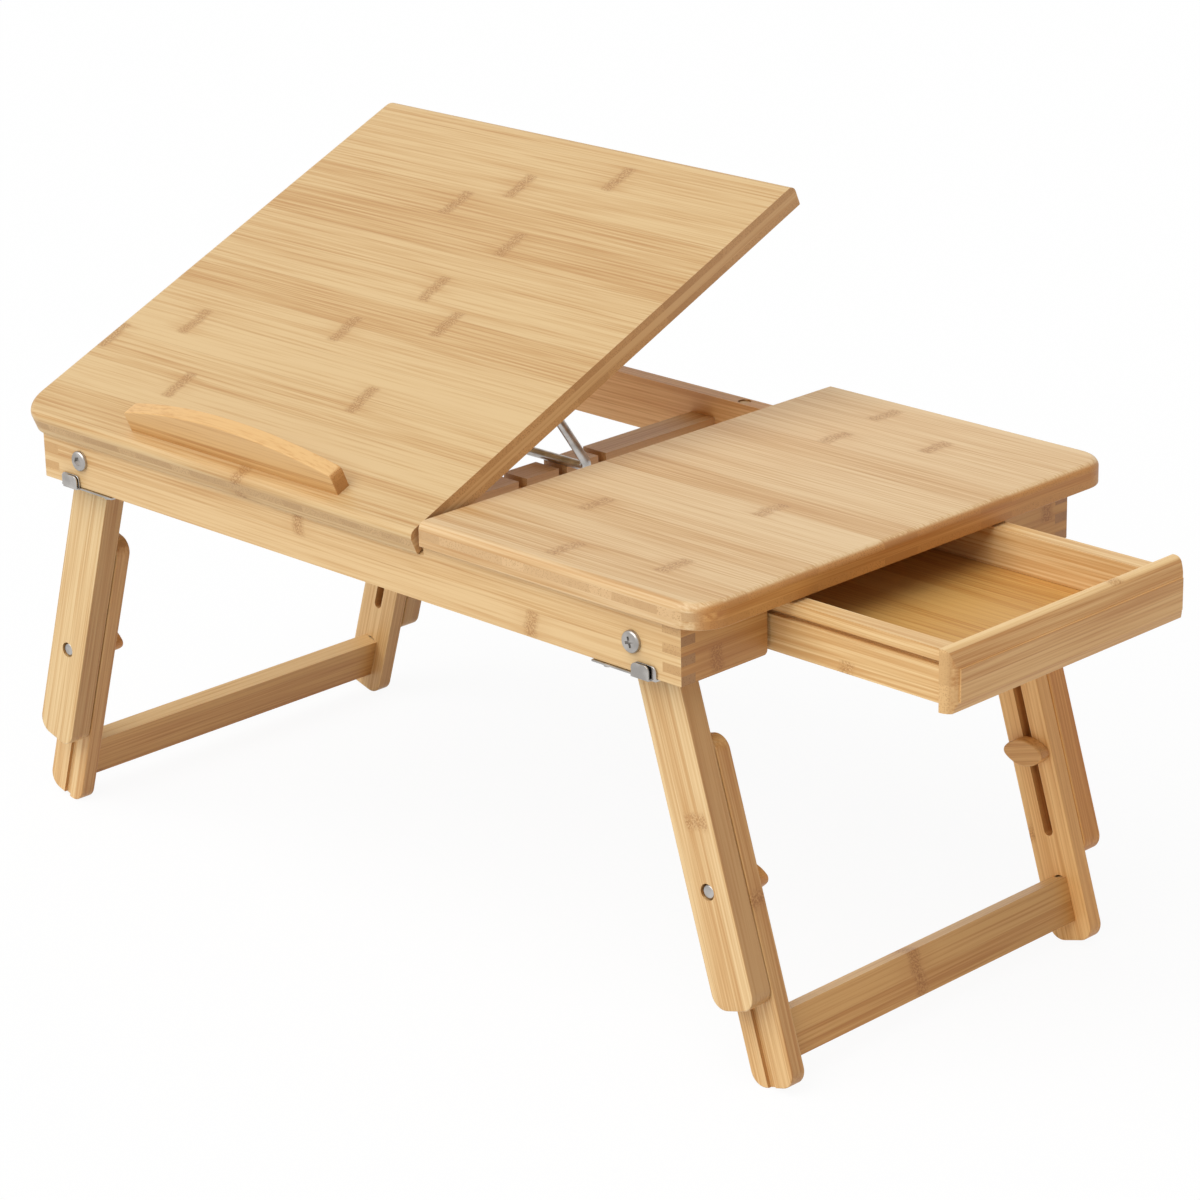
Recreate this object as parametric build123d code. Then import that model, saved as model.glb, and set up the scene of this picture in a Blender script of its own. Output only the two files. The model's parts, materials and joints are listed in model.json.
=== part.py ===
from build123d import *
import math
import os

# A bamboo lap desk with a tilting top, a side drawer and four folding legs of adjustable length.
# Millimetres and degrees. +X runs along the desk to the drawer, +Y away from the user, +Z up.
# The desk is drawn with x = 0 at the middle of the top, y = 0 at the top's front edge and z = 0 on the
# floor. Each piece is then moved so that the origin lies under the middle of the whole desk as it stands.

# Tops
top_length = 550.0
top_depth = 332.0
top_thickness = 14.0
tilt_top_length = 341.5
panel_gap = 3.0
top_edge_round = 4.5
top_under_ease = 0.6
top_corner_round = 20.0
tilt_rear_corner_round = 5.0
seat_gap = 0.3
tilt_angle = 23.5
tilt_raise = 5.0

# Frame
side_overhang = 16.0
front_overhang = 3.0
rear_overhang = 20.0
rail_height = 32.0
rail_thickness = 10.5
side_thickness = 13.0
finger_count = 6
front_stub_length = 64.0
rear_stub_length = 54.5
stub_end_round = 2.5
bevel_relief_angle = 0.4
bumper_diameter = 7.0
bumper_depth = 6.0
bumper_inset = 45.5
bumper_gap = 0.5
bumper_recess = 0.8

# Notched bars that carry the prop
bar_width = 19.0
bar_height = 10.0
bar_drop = 13.0
bar_inset = 65.5
bar_housing = 5.0
housing_gap = 0.2
left_bar_margin = 45.0
notch_width = 6.5
notch_depth = 6.0
notch_pitch = 32.0
notch_count = 3
rest_notch = 1
rest_notch_place = 175.0

# Prop wire and its clips
wire_diameter = 5.5
wire_bend = 7.0
wire_lift = 1.5
wire_overhang = 22.0
wire_left_inset = 8.0
wire_pivot_length = 28.0
prop_lean = 55.0
wire_seat_gap = 0.3
clip_width = 10.0
clip_thickness = 1.5
clip_foot = 9.0
clip_clearance = 0.1

# Hinges of the tilt top
hinge_left_inset = 104.0
hinge_right_inset = 106.5
hinge_length = 40.0
hinge_leaf = 16.0
hinge_leaf_thickness = 1.2
hinge_knuckle_radius = 2.4
hinge_pin_radius = 1.1
hinge_knuckle_gap = 0.3
hinge_recess_gap = 0.4
hinge_screw_spread = 26.0
hinge_mid_share = 0.36

# Book ledge
ledge_length = 178.0
ledge_thickness = 9.5
ledge_mid_height = 24.0
ledge_end_height = 13.0
ledge_end_round = 3.0
ledge_edge_round = 0.8
ledge_setback = 11.0
ledge_offset = 14.2
dowel_diameter = 6.0
dowel_depth = 8.0
dowel_spread = 110.0

# Drawer and its guides
drawer_length = 176.0
drawer_open = 122.0
drawer_side_gap = 0.8
drawer_front_inset = 2.0
drawer_rear_inset = 15.5
drawer_side_thickness = 11.0
drawer_side_height = 29.0
drawer_side_lift = 1.5
drawer_front_thickness = 8.0
drawer_front_drop = 2.5
drawer_lip_rise = 0.8
drawer_lip_round = 4.5
drawer_end_round = 7.4
drawer_rear_end_round = 2.0
drawer_slope = 3.0
drawer_slope_height = 10.5
drawer_slant = 1.5
drawer_slant_height = 5.5
field_proud = 1.0
field_margin = 6.5
field_rear_margin = 2.2
drawer_back_thickness = 10.0
drawer_bottom_thickness = 4.0
drawer_bottom_lift = 3.0
drawer_bottom_tongue = 4.0
drawer_groove_gap = 0.2
runner_height = 2.0
runner_drop = 7.0
runner_reach = 3.0
runner_gap = 0.4
guide_thickness = 12.0
rear_guide_thickness = 17.0
guide_lift = 3.0
divider_thickness = 12.0
divider_inset = 1.0

# Legs
splay_angle = 17.0
pivot_height = 16.5
leg_width = 30.0
leg_gap = 0.4
leg_pair_gap = 0.9
leg_corner_round = 9.0
leg_ease = 0.8
upper_leg_thickness = 14.0
upper_leg_reach = 201.5
lower_leg_thickness = 10.0
lower_leg_start = 58.5
lower_leg_reach = 248.5
clamp_reach = 137.0
slot_width = 6.2
slide_in = 47.0
slide_out = 40.0
foot_groove_width = 5.5
foot_groove_depth = 2.2
foot_groove_offset = 2.0
stretcher_setback = 12.0
stretcher_height = 25.5
stretcher_thickness = 11.0
tenon_depth = 6.0
mortise_gap = 0.1
mortise_extra = 1.0

# Leg hardware
pivot_diameter = 6.0
pivot_head_diameter = 12.3
pivot_head_height = 2.6
pivot_head_round = 1.5
pivot_recess_width = 1.5
pivot_recess_length = 6.0
pivot_recess_depth = 1.4
pivot_socket_width = 5.0
pivot_nut_diameter = 11.0
pivot_nut_height = 4.5
shaft_clearance = 0.06
clamp_diameter = 5.0
clamp_head_diameter = 8.2
clamp_head_height = 2.8
clamp_head_round = 1.4
clamp_counterbore_diameter = 9.4
clamp_counterbore_depth = 3.4
knob_length = 29.5
knob_breadth = 15.5
knob_depth = 7.0
knob_edge_round = 1.2
knob_tip_round = 3.5
knob_turn = 11.0
insert_diameter = 7.5
insert_depth = 5.0

# Leg locks
lock_thickness = 1.0
lock_length = 46.0
lock_outset = 1.5
lock_reach = 10.0
lock_tab_width = 16.0
lock_tab_height = 8.0
lock_tab_round = 3.2
lock_leaf_shift = 3.5
lock_edge_round = 0.3
lock_end_round = 2.0
lock_leaf_gap = 0.9
lock_face_gap = 0.4
lock_travel = 4.0
lock_screw_spread = 30.0
lock_screw_setback = 3.2
lock_seat_gap = 0.2

# Small screws
screw_diameter = 2.6
screw_head_diameter = 5.4
screw_head_height = 1.5
screw_length = 9.0

# Every cut runs this far past the faces that it opens.
overrun = 5.0
# Edges and faces nearer than this to a place count as being at it.
near = 0.05

# Places that follow from the sizes above
half_top = top_length / 2
tilt_right = tilt_top_length - half_top
fixed_left = tilt_right + panel_gap
ledge_middle = (tilt_right - half_top) / 2 + ledge_offset
frame_right = half_top - side_overhang
frame_left = -frame_right
frame_front = front_overhang
frame_rear = top_depth - rear_overhang
frame_middle = (frame_front + frame_rear) / 2
inner_right = frame_right - side_thickness
inner_left = -inner_right
inner_front = frame_front + rail_thickness
inner_rear = frame_rear - rail_thickness

splay_sin = math.sin(math.radians(splay_angle))
splay_cos = math.cos(math.radians(splay_angle))
half_leg = leg_width / 2
stretcher_reach = lower_leg_reach - stretcher_setback - stretcher_height
foot_arc_along = lower_leg_reach - leg_corner_round
foot_arc_across = half_leg - leg_corner_round
pivot_z = foot_arc_along * splay_cos + foot_arc_across * splay_sin + leg_corner_round
rail_bottom = pivot_z - pivot_height
rail_top = rail_bottom + rail_height
top_surface = rail_top + top_thickness
# The leg stops with its outer edge against the side rail's lower inner edge.
pivot_x = inner_right - leg_gap - pivot_height * splay_sin / splay_cos - half_leg / splay_cos

upper_leg_face = inner_front + leg_gap
lower_leg_face = upper_leg_face + upper_leg_thickness + leg_pair_gap
lower_leg_back = lower_leg_face + lower_leg_thickness
knob_face = lower_leg_back + leg_gap

hinge_places = (hinge_left_inset - half_top, tilt_right - hinge_right_inset)
hinge_y = inner_front
hinge_z = rail_top + seat_gap
tilt_sin = math.sin(math.radians(tilt_angle))
tilt_cos = math.cos(math.radians(tilt_angle))

bar_top = rail_top - bar_drop
bar_bottom = bar_top - bar_height
bar_right = tilt_right - bar_inset
bar_left = bar_right - bar_width
left_bar_front = inner_front + left_bar_margin
left_bar_rear = inner_rear - left_bar_margin
wire_radius = wire_diameter / 2

# The prop's foot stands over the middle notch and leans forward up to its pivot under the tilt top.
foot_y = rest_notch_place
foot_z = bar_top + wire_lift + wire_radius
prop_drop = wire_radius + wire_seat_gap
lean_tan = math.tan(math.radians(prop_lean))
prop_run = (foot_y - hinge_y - prop_drop * tilt_sin) * lean_tan - hinge_z + prop_drop * tilt_cos + foot_z
prop_place = prop_run / (tilt_sin + lean_tan * tilt_cos)
prop_y = hinge_y + prop_place * tilt_cos + prop_drop * tilt_sin
prop_z = hinge_z + prop_place * tilt_sin - prop_drop * tilt_cos
wire_right = bar_right + wire_overhang
wire_left = inner_left + wire_left_inset

opening_front = frame_front + front_stub_length
opening_rear = frame_rear - rear_stub_length
board_front = opening_front + drawer_side_gap
board_rear = opening_rear - drawer_side_gap
drawer_side_front = board_front + drawer_front_inset
drawer_side_rear = board_rear - drawer_rear_inset
guide_face = drawer_side_front - drawer_side_gap
rear_guide_face = drawer_side_rear + drawer_side_gap
drawer_side_bottom = rail_bottom + drawer_side_lift
drawer_side_top = drawer_side_bottom + drawer_side_height
drawer_face = frame_right
drawer_back_face = drawer_face - drawer_length
runner_top = drawer_side_top - runner_drop
runner_bottom = runner_top - runner_height

# The corners of the standing desk, which place the origin under its middle.
foot_left = -(pivot_x + foot_arc_along * splay_sin + foot_arc_across * splay_cos + leg_corner_round)
drawer_right = drawer_face + drawer_open + field_proud
crown_along = ledge_setback + ledge_edge_round - hinge_y
crown_up = top_thickness - seat_gap + ledge_mid_height - ledge_edge_round
crown_front = hinge_y + crown_along * tilt_cos - crown_up * tilt_sin - ledge_edge_round
origin_x = (foot_left + drawer_right) / 2
origin_y = (crown_front + top_depth) / 2
to_origin = Pos(-origin_x, -origin_y, 0)

hinge_axis = Axis((0, hinge_y, hinge_z), (1, 0, 0))
side_mirror = Plane(origin=(0, 0, 0), z_dir=(1, 0, 0))
depth_mirror = Plane(origin=(0, frame_middle, 0), z_dir=(0, 1, 0))
drawer_middle = (drawer_side_front + drawer_side_rear) / 2
drawer_mirror = Plane(origin=(0, drawer_middle, 0), z_dir=(0, 1, 0))

parts = {}


def block(x0, x1, y0, y1, z0, z1):
    """A box between two opposite corners."""
    return Pos((x0 + x1) / 2, (y0 + y1) / 2, (z0 + z1) / 2) * Box(x1 - x0, y1 - y0, z1 - z0)


def rod_x(radius, x0, x1, y, z):
    """A round rod along X."""
    return Pos((x0 + x1) / 2, y, z) * Rot(0, 90, 0) * Cylinder(radius, x1 - x0)


def rod_y(radius, y0, y1, x, z):
    """A round rod along Y."""
    return Pos(x, (y0 + y1) / 2, z) * Rot(90, 0, 0) * Cylinder(radius, y1 - y0)


def rod_z(radius, z0, z1, x, y):
    """A round rod along Z."""
    return Pos(x, y, (z0 + z1) / 2) * Cylinder(radius, z1 - z0)


def along_y(outline, y0, y1):
    """An outline drawn in X and Z, made solid from y0 to y1."""
    plane = Plane(origin=(0, y1, 0), x_dir=(1, 0, 0), z_dir=(0, -1, 0))
    return extrude(plane * outline, y1 - y0)


def along_x(outline, x0, x1):
    """An outline drawn in Y and Z, made solid from x0 to x1."""
    plane = Plane(origin=(x0, 0, 0), x_dir=(0, 1, 0), z_dir=(1, 0, 0))
    return extrude(plane * outline, x1 - x0)


def tilted(shape):
    """A piece of the tilt top, drawn with the top closed, at the angle where it stands."""
    return shape.rotate(hinge_axis, tilt_angle)


def group(solids):
    """Several equal pieces as one node."""
    return Compound(children=[s for piece in solids for s in piece.solids()])


def polygon(points):
    """A closed outline through points."""
    return make_face(Polyline(*points, close=True))


# Legs

leg_plane = Plane(origin=(pivot_x, 0, pivot_z), x_dir=(splay_sin, 0, -splay_cos), z_dir=(0, 1, 0))


def on_leg(outline, y0, y1):
    """An outline drawn along (x) and across (y) the right leg from its pivot, made solid from y0 to y1."""
    return extrude(Pos(0, y0, 0) * (leg_plane * outline), y1 - y0)


def leg_rod(radius, along, y0, y1):
    """A round rod along Y at a distance down the leg."""
    return rod_y(radius, y0, y1, pivot_x + along * splay_sin, pivot_z - along * splay_cos)


def strip(start, end, width, offset=0.0):
    """A straight outline along the leg."""
    return Pos((start + end) / 2, offset) * Rectangle(end - start, width)


def stadium(start, end, width):
    """A round-ended outline whose arcs are centred at start and end."""
    return strip(start, end, width) + Pos(start, 0) * Circle(width / 2) + Pos(end, 0) * Circle(width / 2)


def eased(leg, y0, y1):
    """A leg blank with the edges of both broad faces eased."""
    broad = [e for e in leg.edges() if min(abs(e.center().Y - y0), abs(e.center().Y - y1)) < near]
    return fillet(broad, leg_ease)


def make_upper_leg():
    """The part of the leg that turns on the frame."""
    blank = strip(0, upper_leg_reach, leg_width)
    blank = fillet(blank.vertices().group_by(Axis.X)[-1], leg_corner_round)
    outline = blank + Circle(half_leg)
    back = upper_leg_face + upper_leg_thickness
    leg = eased(on_leg(outline, upper_leg_face, back), upper_leg_face, back)
    through = (upper_leg_face - overrun, back + overrun)
    leg -= leg_rod(pivot_diameter / 2 + shaft_clearance, 0, *through)
    leg -= leg_rod(clamp_diameter / 2 + shaft_clearance, clamp_reach, *through)
    bore_end = upper_leg_face + clamp_counterbore_depth
    leg -= leg_rod(clamp_counterbore_diameter / 2, clamp_reach, upper_leg_face - overrun, bore_end)
    return leg


def make_lower_leg():
    """The part of the leg that slides along the upper one, with its slot, foot groove and mortise."""
    outline = strip(lower_leg_start, lower_leg_reach, leg_width)
    outline = fillet(outline.vertices(), leg_corner_round)
    leg = eased(on_leg(outline, lower_leg_face, lower_leg_back), lower_leg_face, lower_leg_back)
    slot = stadium(clamp_reach - slide_out, clamp_reach + slide_in, slot_width)
    leg -= on_leg(slot, lower_leg_face - overrun, lower_leg_back + overrun)
    groove = strip(clamp_reach + slide_in, lower_leg_reach + overrun, foot_groove_width, foot_groove_offset)
    leg -= on_leg(groove, lower_leg_face - overrun, lower_leg_face + foot_groove_depth)
    mortise_radius = stretcher_thickness / 2 + mortise_gap
    first = stretcher_reach - mortise_extra + mortise_radius
    last = stretcher_reach + stretcher_height + mortise_gap - mortise_radius
    mortise = stadium(first, last, 2 * mortise_radius)
    return leg - on_leg(mortise, lower_leg_back - tenon_depth, lower_leg_back + overrun)


def make_stretcher():
    """The board between the two lower legs of a pair, with a round-ended tenon at each end."""
    far = 2 * frame_middle - lower_leg_back
    end = stretcher_reach + stretcher_height
    board = on_leg(strip(stretcher_reach, end, stretcher_thickness), lower_leg_back, far)
    radius = stretcher_thickness / 2
    tenon = stadium(stretcher_reach + radius, end - radius, stretcher_thickness)
    reach = tenon_depth - mortise_gap
    return board + on_leg(tenon, lower_leg_back - reach, far + reach)


def cross_recess():
    """The cross recess of the right pivot bolts."""
    bar = Rectangle(pivot_recess_length, pivot_recess_width)
    return bar + Rectangle(pivot_recess_width, pivot_recess_length)


def socket_recess():
    """The hexagon socket of the left pivot bolts."""
    return RegularPolygon(pivot_socket_width / 2, 6, major_radius=False)


def make_pivot_bolt(recess):
    """The large bolt that the leg turns on, with a recess in its head."""
    head = leg_rod(pivot_head_diameter / 2, 0, frame_front - pivot_head_height, frame_front)
    head = fillet(head.edges().group_by(Axis.Y)[0], pivot_head_round)
    face = frame_front - pivot_head_height
    head -= on_leg(recess, face - overrun, face + pivot_recess_depth)
    nut_end = upper_leg_face + upper_leg_thickness + leg_gap + pivot_nut_height
    return head + leg_rod(pivot_diameter / 2, 0, frame_front, nut_end)


def make_pivot_nut():
    """The round nut behind the upper leg."""
    face = upper_leg_face + upper_leg_thickness + leg_gap
    nut = leg_rod(pivot_nut_diameter / 2, 0, face, face + pivot_nut_height)
    return nut - leg_rod(pivot_diameter / 2, 0, face - overrun, face + pivot_nut_height + overrun)


def make_clamp_bolt():
    """The domed bolt through the upper leg and the lower leg's slot into the knob."""
    seat = upper_leg_face + clamp_counterbore_depth
    head = leg_rod(clamp_head_diameter / 2, clamp_reach, seat - clamp_head_height, seat)
    head = fillet(head.edges().group_by(Axis.Y)[0], clamp_head_round)
    return head + leg_rod(clamp_diameter / 2, clamp_reach, seat, knob_face + insert_depth)


def make_knob():
    """The lens-shaped wooden knob, lying nearly across the leg."""
    half_length = knob_length / 2
    half_breadth = knob_breadth / 2
    ends = ((0, -half_length), (0, half_length))
    lens = make_face([
        ThreePointArc(ends[0], (half_breadth, 0), ends[1]),
        ThreePointArc(ends[1], (-half_breadth, 0), ends[0]),
    ])
    lens = fillet(lens.vertices(), knob_tip_round)
    knob = on_leg(Pos(clamp_reach, 0) * Rot(0, 0, knob_turn) * lens, knob_face, knob_face + knob_depth)
    knob = fillet(knob.edges().group_by(Axis.Y)[-1], knob_edge_round)
    return knob - leg_rod(insert_diameter / 2, clamp_reach, knob_face - overrun, knob_face + insert_depth)


def make_knob_insert():
    """The threaded steel insert in the knob."""
    insert = leg_rod(insert_diameter / 2, clamp_reach, knob_face, knob_face + insert_depth)
    bore = clamp_diameter / 2 + shaft_clearance
    return insert - leg_rod(bore, clamp_reach, knob_face - overrun, knob_face + insert_depth + overrun)


def lock_screw_places():
    """Where the two guide screws of the right front lock stand."""
    middle = lock_left + lock_length / 2
    y = frame_front + lock_screw_setback
    return [(middle - lock_screw_spread / 2, y), (middle + lock_screw_spread / 2, y)]


lock_left = pivot_x - lock_length + lock_tab_width + lock_outset
lock_top = rail_bottom - lock_seat_gap


def make_lock():
    """The steel lock plate that slides under the rail, with its folded finger tab in front of the rail."""
    bottom = lock_top - lock_thickness
    front = frame_front - lock_face_gap - 2 * lock_thickness - lock_leaf_gap
    right = lock_left + lock_length
    plate = block(lock_left, right, front, frame_front + lock_reach, bottom, lock_top)
    plate = fillet(plate.edges().filter_by(Axis.Z).group_by(Axis.X)[0], lock_end_round)
    rear_leaf = frame_front - lock_face_gap - lock_thickness
    tab_left = right - lock_tab_width
    for leaf, shift in ((front, lock_leaf_shift), (rear_leaf, 0)):
        tab = Rectangle(lock_tab_width - shift, lock_tab_height)
        tab = Pos((tab_left + right - shift) / 2, bottom + lock_tab_height / 2) * tab
        tab = fillet(tab.vertices().group_by(Axis.Y)[-1], lock_tab_round)
        tab = along_y(tab, leaf, leaf + lock_thickness)
        rim = [e for e in tab.edges() if e.center().Z > bottom + near and e.geom_type != GeomType.LINE]
        tab = fillet(rim, lock_edge_round)
        plate += tab
    heights = (bottom - overrun, lock_top + overrun)
    plate -= block(lock_left - overrun, tab_left, front - overrun, rear_leaf, *heights)
    plate -= block(right - lock_leaf_shift, right + overrun, front - overrun, rear_leaf, *heights)
    half_slot = screw_diameter / 2 + runner_gap
    for x, y in lock_screw_places():
        slot = Pos(x, y + lock_travel / 2) * Rectangle(2 * half_slot, lock_travel)
        slot += Pos(x, y) * Circle(half_slot) + Pos(x, y + lock_travel) * Circle(half_slot)
        plate -= extrude(Pos(0, 0, bottom - overrun) * slot, lock_thickness + 2 * overrun)
    return plate


def make_lock_screw(x, y):
    """A pan-head screw up into the rail, which carries the lock plate on its head."""
    seat = lock_top - lock_thickness - lock_seat_gap
    head = rod_z(screw_head_diameter / 2, seat - screw_head_height, seat, x, y)
    return head + rod_z(screw_diameter / 2, seat, rail_bottom + screw_length, x, y)


def corner_copies(shape):
    """A right front piece and its mirror images at the other corners, by name."""
    rear = mirror(shape, about=depth_mirror)
    return {
        "right_front": shape,
        "right_rear": rear,
        "left_front": mirror(shape, about=side_mirror),
        "left_rear": mirror(rear, about=side_mirror),
    }


upper_legs = corner_copies(make_upper_leg())
lower_legs = corner_copies(make_lower_leg())
clamp_bolts = corner_copies(make_clamp_bolt())
knobs = corner_copies(make_knob())
inserts = corner_copies(make_knob_insert())
locks = corner_copies(make_lock())
cross_bolts = corner_copies(make_pivot_bolt(cross_recess()))
socket_bolts = corner_copies(make_pivot_bolt(socket_recess()))
pivot_nuts = corner_copies(make_pivot_nut())
lock_screws = [corner_copies(make_lock_screw(x, y)) for x, y in lock_screw_places()]
for corner in upper_legs:
    parts["upper_leg_" + corner] = upper_legs[corner]
    parts["lower_leg_" + corner] = lower_legs[corner]
    parts["clamp_knob_" + corner] = knobs[corner]
    parts["knob_insert_" + corner] = inserts[corner]
    parts["leg_lock_" + corner] = locks[corner]
for side in ("right", "left"):
    pair = [clamp_bolts[side + "_front"], clamp_bolts[side + "_rear"]]
    parts["clamp_bolts_" + side] = group(pair)
parts["stretcher_right"] = make_stretcher()
parts["stretcher_left"] = mirror(parts["stretcher_right"], about=side_mirror)
pivot_bolts = [(cross_bolts if c.startswith("right") else socket_bolts)[c] for c in upper_legs]
parts["pivot_bolts"] = group(pivot_bolts)
parts["pivot_nuts"] = group(pivot_nuts.values())
parts["lock_screws"] = group([screw for copies in lock_screws for screw in copies.values()])

# Frame


def pivot_holes():
    """The four bolt holes through the long rails."""
    hole = leg_rod(pivot_diameter / 2 + shaft_clearance, 0, frame_front - overrun, inner_front + overrun)
    return corner_copies(hole).values()


def lock_holes():
    """The pilot holes of the lock screws in the rails' undersides."""
    top = rail_bottom + screw_length
    holes = [rod_z(screw_diameter / 2, rail_bottom - overrun, top, x, y) for x, y in lock_screw_places()]
    return [copy for hole in holes for copy in corner_copies(hole).values()]


def finger_slots(first, x0, x1, y0, y1):
    """Every second finger of a corner, starting with the first or the second from below."""
    step = rail_height / finger_count
    for n in range(first, finger_count, 2):
        low = rail_bottom + n * step
        yield block(x0, x1, y0, y1, low, low + step)


def corner_fingers(first, right, front):
    """The fingers in one of the four corners of the frame."""
    x0, x1 = (inner_right, frame_right) if right else (frame_left, inner_left)
    y0, y1 = (frame_front, inner_front) if front else (inner_rear, frame_rear)
    return list(finger_slots(first, x0, x1, y0, y1))


def tilt_bevel():
    """The wedge off the top of the front of the frame, in which the tilt top's nose goes down."""
    slope = math.tan(math.radians(tilt_angle + tilt_raise + bevel_relief_angle))
    reach = hinge_y - frame_front + overrun
    wedge = polygon([
        (hinge_y, rail_top),
        (hinge_y, rail_top + overrun),
        (hinge_y - reach, rail_top + overrun),
        (hinge_y - reach, rail_top - reach * slope),
    ])
    return along_x(wedge, frame_left - overrun, fixed_left)


def hinge_spans():
    """The start and end of each hinge along X."""
    return [(middle - hinge_length / 2, middle + hinge_length / 2) for middle in hinge_places]


def hinge_recess():
    """The rounded recesses that the hinge knuckles lie in."""
    radius = hinge_knuckle_radius + hinge_recess_gap
    ends = [(a - hinge_recess_gap, b + hinge_recess_gap) for a, b in hinge_spans()]
    return [rod_x(radius, a, b, hinge_y, hinge_z) for a, b in ends]


def frame_leaf(x0, x1):
    """The hinge leaf let into the front rail's inner face."""
    low = rail_top - hinge_leaf
    return block(x0, x1, inner_front - hinge_leaf_thickness, inner_front, low, hinge_z)


def top_leaf(x0, x1):
    """The hinge leaf let into the tilt top's underside, drawn closed."""
    return block(x0, x1, hinge_y, hinge_y + hinge_leaf, hinge_z, hinge_z + hinge_leaf_thickness)


def bar_body(gap):
    """The notched cross bar with its ends let into the long rails."""
    ends = (inner_front - bar_housing - gap, inner_rear + bar_housing + gap)
    return block(bar_left - gap, bar_right + gap, *ends, bar_bottom - gap, bar_top + gap)


def notches(x0, x1):
    """The notches across a bar."""
    for n in range(notch_count):
        y = rest_notch_place + (n - rest_notch) * notch_pitch
        half = notch_width / 2
        heights = (bar_top - notch_depth, bar_top + overrun)
        yield block(x0 - overrun, x1 + overrun, y - half, y + half, *heights)


def frame_screw_places():
    """Where the screws of the hinges' frame leaves stand, along X, and their height."""
    z = rail_top - hinge_leaf / 2 - hinge_knuckle_radius / 2
    return [(middle + side * hinge_screw_spread / 2, z) for middle in hinge_places for side in (-1, 1)]


def frame_hinge_screw(x, z):
    """A countersunk screw through a frame leaf into the front rail, flush with the leaf."""
    sink = hinge_leaf_thickness
    head = Rot(-90, 0, 0) * Cone(screw_diameter / 2, screw_head_diameter / 2, sink)
    head = Pos(x, inner_front - sink / 2, z) * head
    return head + rod_y(screw_diameter / 2, inner_front - screw_length, inner_front - sink, x, z)


def top_hinge_screw(x, y):
    """A countersunk screw through a top leaf up into the tilt top, drawn closed."""
    sink = hinge_leaf_thickness
    head = Rot(180, 0, 0) * Cone(screw_diameter / 2, screw_head_diameter / 2, sink)
    head = Pos(x, y, hinge_z + sink / 2) * head
    return head + rod_z(screw_diameter / 2, hinge_z + sink, hinge_z + screw_length, x, y)


def make_long_rail(front):
    """The front or rear rail, with its fingers, holes and bar housing."""
    y0, y1 = (frame_front, inner_front) if front else (inner_rear, frame_rear)
    rail = block(frame_left, frame_right, y0, y1, rail_bottom, rail_top)
    for right in (True, False):
        for slot in corner_fingers(1, right, front):
            rail -= slot
    for cut in [*pivot_holes(), *lock_holes(), bar_body(housing_gap)]:
        rail -= cut
    return rail


def make_side(right, front_end, rear_end):
    """A side board between two places along Y, with fingers at the corners that it reaches."""
    x0, x1 = (inner_right, frame_right) if right else (frame_left, inner_left)
    board = block(x0, x1, front_end, rear_end, rail_bottom, rail_top)
    for front in (True, False):
        for slot in corner_fingers(0, right, front):
            board -= slot
    return board


def make_front_rail():
    """The front rail, bevelled under the tilt top and let in for the hinges."""
    rail = make_long_rail(True) - tilt_bevel()
    for recess in hinge_recess():
        rail -= recess
    for x0, x1 in hinge_spans():
        rail -= frame_leaf(x0, x1)
    for x, z in frame_screw_places():
        rail -= frame_hinge_screw(x, z)
    return rail


def make_stub(front):
    """A short side board beside the drawer opening, its free lower corner eased."""
    ends = (frame_front, opening_front) if front else (opening_rear, frame_rear)
    stub = make_side(True, *ends)
    free = opening_front if front else opening_rear
    corner = Vector((inner_right + frame_right) / 2, free, rail_bottom)
    return fillet([e for e in stub.edges() if (e.center() - corner).length < near], stub_end_round)


bumper_x = tilt_right - bumper_inset
bumper_y = (inner_rear + frame_rear) / 2
bumper_hole_radius = bumper_diameter / 2 + bumper_gap
bumper_hole = rod_z(bumper_hole_radius, rail_top - bumper_depth, rail_top + overrun, bumper_x, bumper_y)

parts["front_rail"] = make_front_rail()
parts["rear_rail"] = make_long_rail(False) - bumper_hole
parts["left_rail"] = make_side(False, frame_front, frame_rear) - tilt_bevel()
parts["right_front_stub"] = make_stub(True)
parts["right_rear_stub"] = make_stub(False)
bumper_ends = (rail_top - bumper_depth, rail_top - bumper_recess)
parts["rear_bumper"] = rod_z(bumper_diameter / 2, *bumper_ends, bumper_x, bumper_y)

center_bar = bar_body(0)
left_bar = block(inner_left, inner_left + bar_width, left_bar_front, left_bar_rear, bar_bottom, bar_top)
for notch in notches(inner_left, bar_right):
    center_bar -= notch
    left_bar -= notch
parts["center_notched_bar"] = center_bar
parts["left_notched_bar"] = left_bar

# Tops


def top_blank(x0, x1, bottom, corners):
    """A top panel, rounded in plan and over its upper edge, with an eased lower edge, on its outer sides."""
    blank = block(x0, x1, 0, top_depth, bottom, top_surface)
    for (right, rear), radius in corners.items():
        corner = Vector(x1 if right else x0, top_depth if rear else 0, (bottom + top_surface) / 2)
        blank = fillet([e for e in blank.edges() if (e.center() - corner).length < near], radius)
    cut_x = x0 if x0 > -half_top else x1
    for height, radius in ((top_surface, top_edge_round), (bottom, top_under_ease)):
        rim = [e for e in blank.edges() if abs(e.center().Z - height) < near]
        blank = fillet([e for e in rim if abs(e.center().X - cut_x) > near], radius)
    return blank


def dowel_places():
    """Where the ledge's two dowels stand along X."""
    return [ledge_middle + side * dowel_spread / 2 for side in (-1, 1)]


ledge_y = ledge_setback + ledge_thickness / 2


def dowel_rod(gap):
    """The ledge's two dowels, or their holes."""
    ends = (top_surface - dowel_depth - gap, top_surface + dowel_depth + gap)
    return [rod_z(dowel_diameter / 2 + gap, *ends, x, ledge_y) for x in dowel_places()]


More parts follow.
